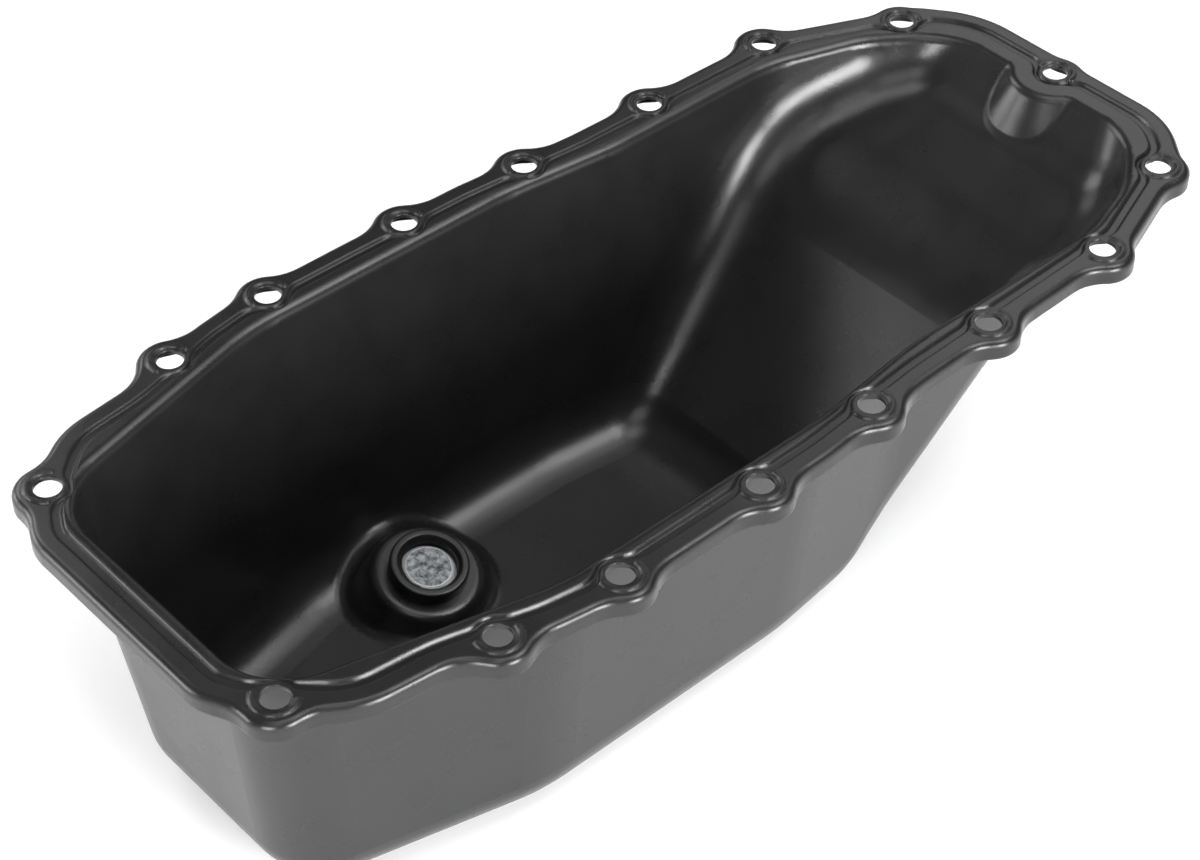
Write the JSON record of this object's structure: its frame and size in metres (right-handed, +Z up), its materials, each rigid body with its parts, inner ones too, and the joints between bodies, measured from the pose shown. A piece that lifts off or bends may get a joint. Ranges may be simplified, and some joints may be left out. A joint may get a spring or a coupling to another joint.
{
  "type": "engine oil pan",
  "caption": "Deep-drawn steel engine oil pan: bolting flange with gasket groove, deep sump, ramp to a shallow shelf, and a screw-in drain plug.",
  "frame": {"origin": "centre of the rectangle of four bolt holes at x = +-131 mm, on the gasket face", "axes": "+X along the pan from the deep sump to the shallow end, +Y towards the side nearer the drain plug, +Z up out of the pan"},
  "size_m": [0.4151, 0.192, 0.1167],
  "materials": {
    "pan_paint": "semi-gloss black e-coat",
    "nut_paint": "semi-gloss black e-coat",
    "plug_zinc": "zinc plated",
    "washer_metal": "plain"
  },
  "bodies": {
    "pan": {"pan_shell": "pan_paint", "drain_nut": "nut_paint"},
    "washer": {"plug_washer": "washer_metal"},
    "plug": {"drain_plug": "plug_zinc"}
  },
  "joints": [
    {"name": "plug_travel", "type": "slide", "parent": "pan", "child": "washer", "axis": [0, 0.2588, -0.9659], "range_m": [0, 0.0045]},
    {"name": "plug_turn", "type": "hinge", "parent": "washer", "child": "plug", "pos_m": [-0.069, 0.0343, -0.1025], "axis": [0, 0.2588, -0.9659], "range_deg": [0, 1080]}
  ],
  "couplings": [
    {"joint": "plug_travel", "follows": "plug_turn", "m_per_rad": 0.00023873}
  ]
}
